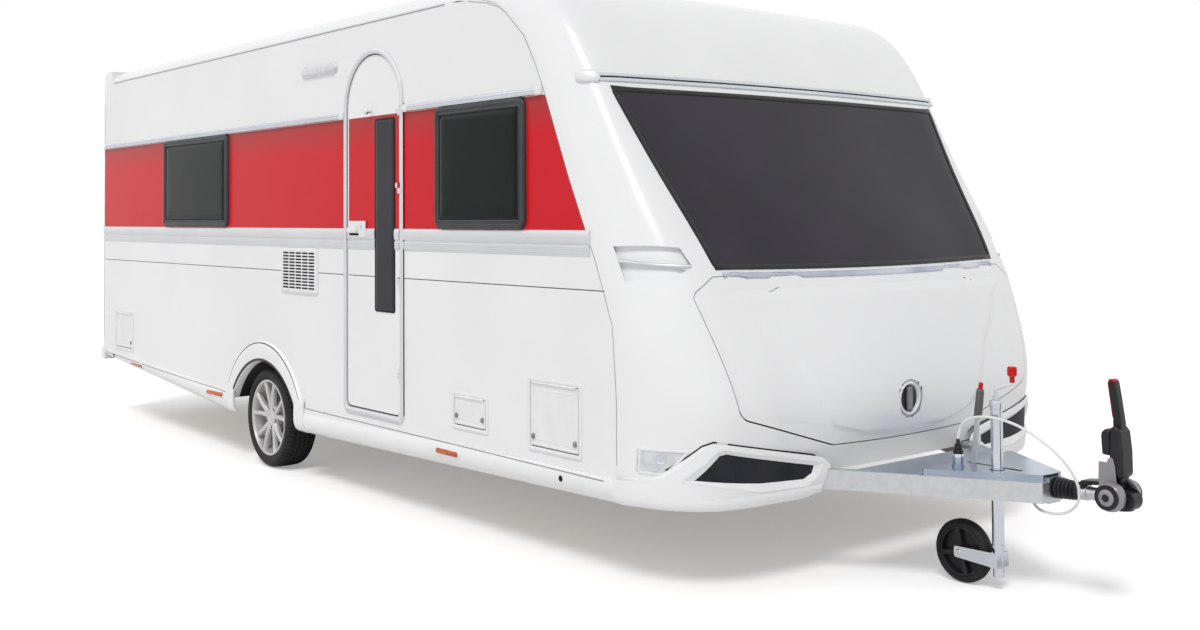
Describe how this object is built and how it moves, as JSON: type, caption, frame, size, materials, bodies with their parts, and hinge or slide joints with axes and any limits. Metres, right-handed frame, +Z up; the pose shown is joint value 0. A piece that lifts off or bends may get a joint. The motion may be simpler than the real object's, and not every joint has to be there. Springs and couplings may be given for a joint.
{
  "type": "travel caravan",
  "caption": "Single-axle touring caravan with a hollow insulated body, arched entrance door, sloped front window, gas locker, drawbar, ball coupling and jockey wheel.",
  "frame": {"origin": "on the ground, in the middle of the overall length and width", "axes": "+X forward to the coupling, +Y to the vehicle's left, +Z up"},
  "size_m": [7.9, 2.552, 2.7],
  "materials": {
    "white_panel": "gloss",
    "glass": "gloss",
    "dark_frame": "satin",
    "white_plastic": "gloss",
    "galvanised": "satin",
    "aluminium": "satin",
    "chrome": "polished",
    "tyre": "matte",
    "alloy": "satin",
    "black_plastic": "satin",
    "black_rubber": "matte",
    "cable_white": "satin",
    "lamp_clear": "gloss",
    "ply": "satin"
  },
  "bodies": {
    "root": {"chassis_rail_right": "galvanised", "chassis_rail_left": "galvanised", "drawbar_beam_right": "galvanised", "drawbar_beam_left": "galvanised", "swing_arm_right": "galvanised", "swing_arm_left": "galvanised", "chassis_cross_members": "galvanised", "axle_tube": "galvanised", "overrun_tube": "galvanised", "steady_brackets": "galvanised", "drawbar_cover": "chrome", "jockey_clamp": "chrome", "side_wall_right": "white_panel", "side_wall_left": "white_panel", "skirts": "white_panel", "wheel_arch_right": "white_panel", "wheel_arch_left": "white_panel", "roof_panel": "white_panel", "rear_wall": "white_panel", "front_panel": "white_panel", "front_bumpers": "white_panel", "rear_bumper": "white_panel", "floor_panel": "ply", "locker_bulkhead": "ply", "window_panes": "glass", "window_frames": "dark_frame", "door_frame": "aluminium", "hatch_frames": "white_plastic", "fridge_vent": "white_plastic", "rooflight_frame": "white_plastic", "grab_handles": "aluminium", "lamps": "lamp_clear", "bumper_grilles": "black_plastic", "coupling_head": "black_plastic", "connector_plug": "black_plastic", "overrun_bellows": "black_rubber", "connector_cable": "cable_white"},
    "wheel_right": {"tyre_right": "tyre", "rim_right": "alloy"},
    "wheel_left": {"tyre_left": "tyre", "rim_left": "alloy"},
    "jockey_tube": {"jockey_outer_tube": "chrome"},
    "jockey_leg": {"jockey_leg": "chrome"},
    "jockey_wheel": {"jockey_wheel": "black_plastic"},
    "handbrake_lever": {"handbrake_lever": "black_plastic"},
    "coupling_handle": {"coupling_handle": "black_plastic"},
    "entrance_door": {"entrance_door": "white_panel", "door_window": "glass", "door_handle": "white_plastic"},
    "gas_locker_lid": {"gas_locker_lid": "white_panel", "lid_latch": "black_plastic"},
    "hatch_lid_rear": {"hatch_lid_rear": "white_plastic"},
    "hatch_lid_mid": {"hatch_lid_mid": "white_plastic"},
    "hatch_lid_front": {"hatch_lid_front": "white_plastic"},
    "rooflight_lid": {"rooflight_lid": "glass"},
    "steady_front_right": {"steady_front_right": "galvanised"},
    "steady_front_left": {"steady_front_left": "galvanised"},
    "steady_rear_right": {"steady_rear_right": "galvanised"},
    "steady_rear_left": {"steady_rear_left": "galvanised"}
  },
  "joints": [
    {"name": "wheel_spin_right", "type": "hinge", "parent": "root", "child": "wheel_right", "pos_m": [-0.97, -1.12, 0.3], "axis": [0, 1, 0], "continuous": true},
    {"name": "wheel_spin_left", "type": "hinge", "parent": "root", "child": "wheel_left", "pos_m": [-0.97, 1.12, 0.3], "axis": [0, 1, 0], "continuous": true},
    {"name": "jockey_raise", "type": "slide", "parent": "root", "child": "jockey_tube", "axis": [0, 0, 1], "range_m": [0, 0.065]},
    {"name": "jockey_swivel", "type": "hinge", "parent": "jockey_tube", "child": "jockey_leg", "pos_m": [3.405, -0.1, 0.4], "axis": [0, 0, 1], "continuous": true},
    {"name": "jockey_spin", "type": "hinge", "parent": "jockey_leg", "child": "jockey_wheel", "pos_m": [3.242, -0.1, 0.129], "axis": [0, 1, 0], "continuous": true},
    {"name": "handbrake", "type": "hinge", "parent": "root", "child": "handbrake_lever", "pos_m": [3.25, -0.048, 0.44], "axis": [0, 1, 0], "range_deg": [0, 68]},
    {"name": "coupling_lever", "type": "hinge", "parent": "root", "child": "coupling_handle", "pos_m": [3.875, 0, 0.472], "axis": [0, -1, 0], "range_deg": [0, 55]},
    {"name": "door_hinge", "type": "hinge", "parent": "root", "child": "entrance_door", "pos_m": [0.676, -1.26, 1.4], "axis": [0, 0, 1], "range_deg": [0, 150]},
    {"name": "gas_lid_hinge", "type": "hinge", "parent": "root", "child": "gas_locker_lid", "pos_m": [2.63, 0, 1.33], "axis": [0, -1, 0], "range_deg": [0, 55]},
    {"name": "hatch_hinge_rear", "type": "hinge", "parent": "root", "child": "hatch_lid_rear", "pos_m": [-3.345, -1.256, 0.806], "axis": [-1, 0, 0], "range_deg": [0, 110]},
    {"name": "hatch_hinge_mid", "type": "hinge", "parent": "root", "child": "hatch_lid_mid", "pos_m": [1.315, -1.256, 0.657], "axis": [-1, 0, 0], "range_deg": [0, 110]},
    {"name": "hatch_hinge_front", "type": "hinge", "parent": "root", "child": "hatch_lid_front", "pos_m": [1.975, -1.256, 0.782], "axis": [-1, 0, 0], "range_deg": [0, 110]},
    {"name": "rooflight_hinge", "type": "hinge", "parent": "root", "child": "rooflight_lid", "pos_m": [-0.97, 0, 2.669], "axis": [0, -1, 0], "range_deg": [0, 60]},
    {"name": "steady_front_right_fold", "type": "hinge", "parent": "root", "child": "steady_front_right", "pos_m": [1.7, -0.86, 0.415], "axis": [0, 1, 0], "range_deg": [0, 55]},
    {"name": "steady_front_left_fold", "type": "hinge", "parent": "root", "child": "steady_front_left", "pos_m": [1.7, 0.86, 0.415], "axis": [0, 1, 0], "range_deg": [0, 55]},
    {"name": "steady_rear_right_fold", "type": "hinge", "parent": "root", "child": "steady_rear_right", "pos_m": [-3.1, -0.86, 0.415], "axis": [0, -1, 0], "range_deg": [0, 55]},
    {"name": "steady_rear_left_fold", "type": "hinge", "parent": "root", "child": "steady_rear_left", "pos_m": [-3.1, 0.86, 0.415], "axis": [0, -1, 0], "range_deg": [0, 55]}
  ]
}
